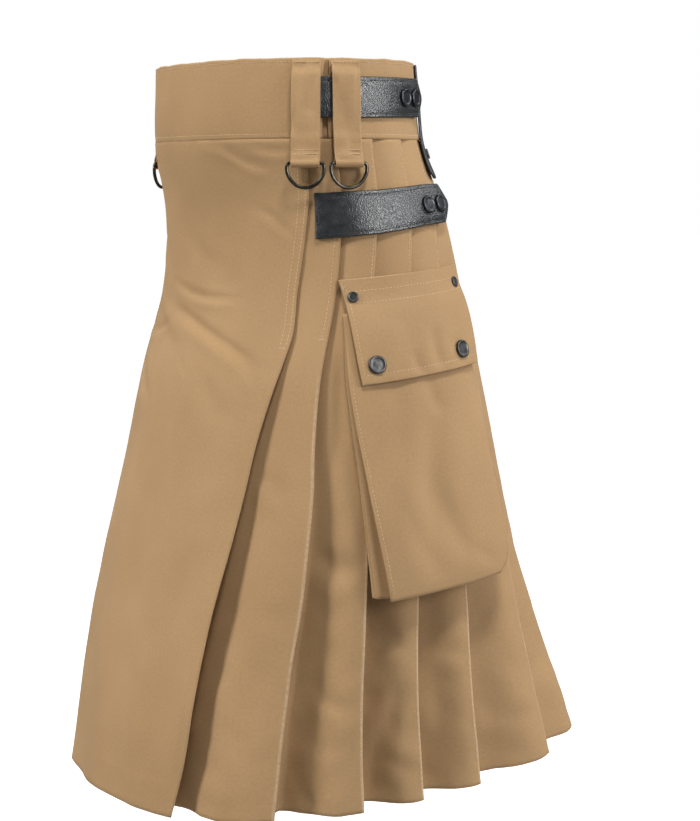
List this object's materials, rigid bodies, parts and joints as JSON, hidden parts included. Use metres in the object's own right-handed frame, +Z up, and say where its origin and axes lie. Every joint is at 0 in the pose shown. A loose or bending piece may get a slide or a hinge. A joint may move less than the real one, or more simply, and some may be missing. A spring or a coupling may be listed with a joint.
{
  "type": "utility kilt",
  "caption": "Knee-length tan canvas utility kilt in its worn form: flat apron, knife pleats to the back, leather straps with snaps, belt loops with D-rings and bellows side pockets.",
  "frame": {"origin": "centre of the waist opening, level with the waistband's top edge", "axes": "+Z up out of the waist opening, -Y the wearer's front with the apron, +X the wearer's left"},
  "size_m": [0.4334, 0.4315, 0.6186],
  "materials": {
    "canvas": "matte cotton canvas with a slight sheen",
    "leather": "satin, fine pebbled grain",
    "ring_metal": "antique black, semi-gloss",
    "snap_metal": "dark gunmetal, satin"
  },
  "bodies": {
    "kilt": {"apron": "canvas", "under_apron": "canvas", "waistband_front": "canvas", "waistband_back": "canvas", "waistband_under": "canvas", "pleats_left": "canvas", "pleats_right": "canvas", "belt_loop_front_left": "canvas", "belt_loop_front_right": "canvas", "belt_loop_rear_left": "canvas", "belt_loop_rear_right": "canvas", "pocket_left": "canvas", "pocket_right": "canvas", "flap_left": "canvas", "flap_right": "canvas", "waist_strap_left": "leather", "waist_strap_right": "leather", "hip_strap_left": "leather", "hip_strap_right": "leather", "back_loop_left": "leather", "back_loop_right": "leather", "waist_snap_1_left": "snap_metal", "waist_snap_1_right": "snap_metal", "waist_snap_2_left": "snap_metal", "waist_snap_2_right": "snap_metal", "hip_snap_1_left": "snap_metal", "hip_snap_1_right": "snap_metal", "hip_snap_2_left": "snap_metal", "hip_snap_2_right": "snap_metal", "back_rivet_left": "snap_metal", "back_rivet_right": "snap_metal", "flap_snap_front_left": "snap_metal", "flap_snap_front_right": "snap_metal", "flap_snap_rear_left": "snap_metal", "flap_snap_rear_right": "snap_metal", "flap_rivet_front_left": "snap_metal", "flap_rivet_front_right": "snap_metal", "flap_rivet_rear_left": "snap_metal", "flap_rivet_rear_right": "snap_metal"},
    "ring_front_left": {"d_ring_front_left": "ring_metal"},
    "ring_front_right": {"d_ring_front_right": "ring_metal"},
    "ring_rear_left": {"d_ring_rear_left": "ring_metal"},
    "ring_rear_right": {"d_ring_rear_right": "ring_metal"}
  },
  "joints": [
    {"name": "ring_front_left_swing", "type": "hinge", "parent": "kilt", "child": "ring_front_left", "pos_m": [0.1363, -0.0512, -0.0841], "axis": [-0.6066, -0.795, 0], "range_deg": [-8, 160]},
    {"name": "ring_front_right_swing", "type": "hinge", "parent": "kilt", "child": "ring_front_right", "pos_m": [-0.1363, -0.0512, -0.0841], "axis": [-0.6066, 0.795, 0], "range_deg": [-8, 160]},
    {"name": "ring_rear_left_swing", "type": "hinge", "parent": "kilt", "child": "ring_rear_left", "pos_m": [0.1527, -0.0202, -0.084], "axis": [-0.2158, -0.9764, 0], "range_deg": [-8, 160]},
    {"name": "ring_rear_right_swing", "type": "hinge", "parent": "kilt", "child": "ring_rear_right", "pos_m": [-0.1527, -0.0202, -0.084], "axis": [-0.2158, 0.9764, 0], "range_deg": [-8, 160]}
  ]
}
